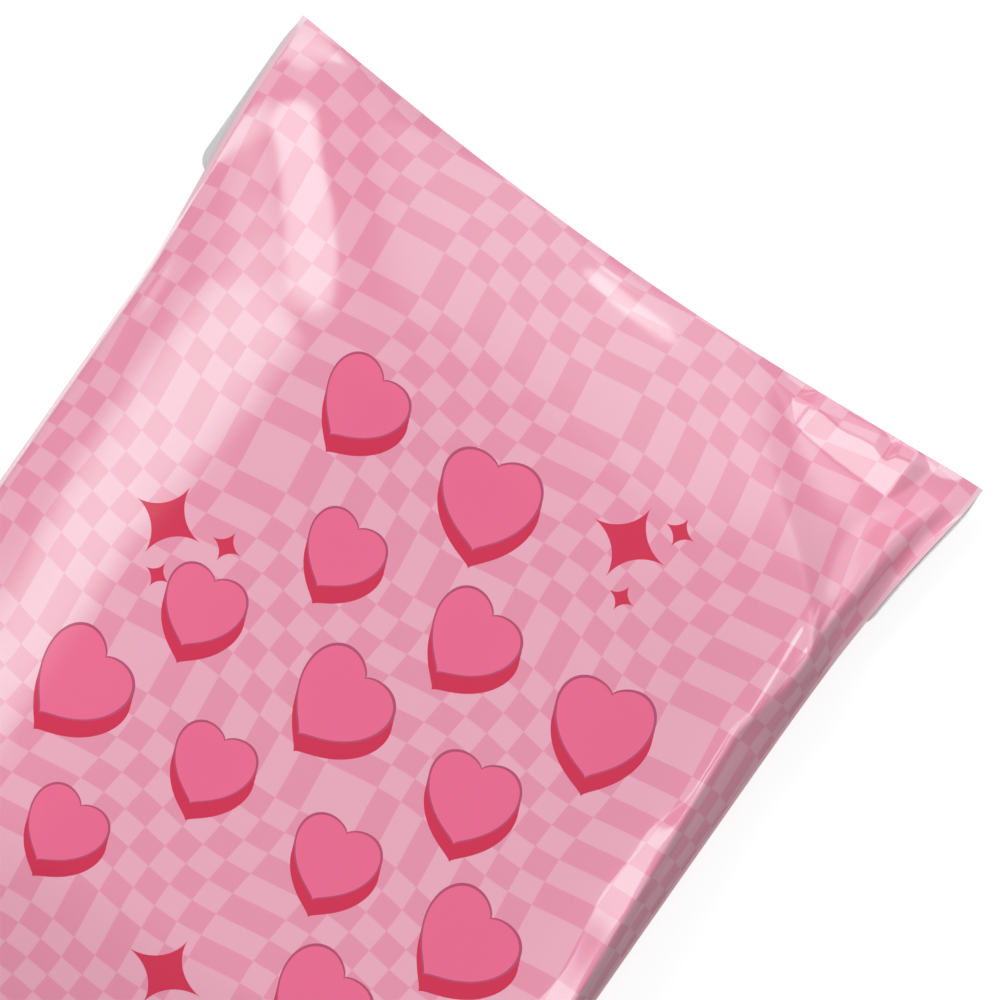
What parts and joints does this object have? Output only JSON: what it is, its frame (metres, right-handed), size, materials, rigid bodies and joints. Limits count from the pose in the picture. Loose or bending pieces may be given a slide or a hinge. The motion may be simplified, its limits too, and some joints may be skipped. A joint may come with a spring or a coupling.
{
  "type": "poly mailer bag",
  "caption": "Filled and sealed plastic mailing bag: a soft flat pillow with thin welded side edges, a folded top edge and a wide closing flap stuck down across the back.",
  "frame": {"origin": "middle of the bag's outline, on the surface that the bag lies on", "axes": "+X across the bag, +Y along it towards the folded top edge, +Z out of the printed front"},
  "size_m": [0.254, 0.33, 0.0413],
  "materials": {
    "printed_film": "glossy pink printed polyethylene film"
  },
  "bodies": {
    "root": {"mailer_bag": "printed_film"}
  },
  "joints": []
}
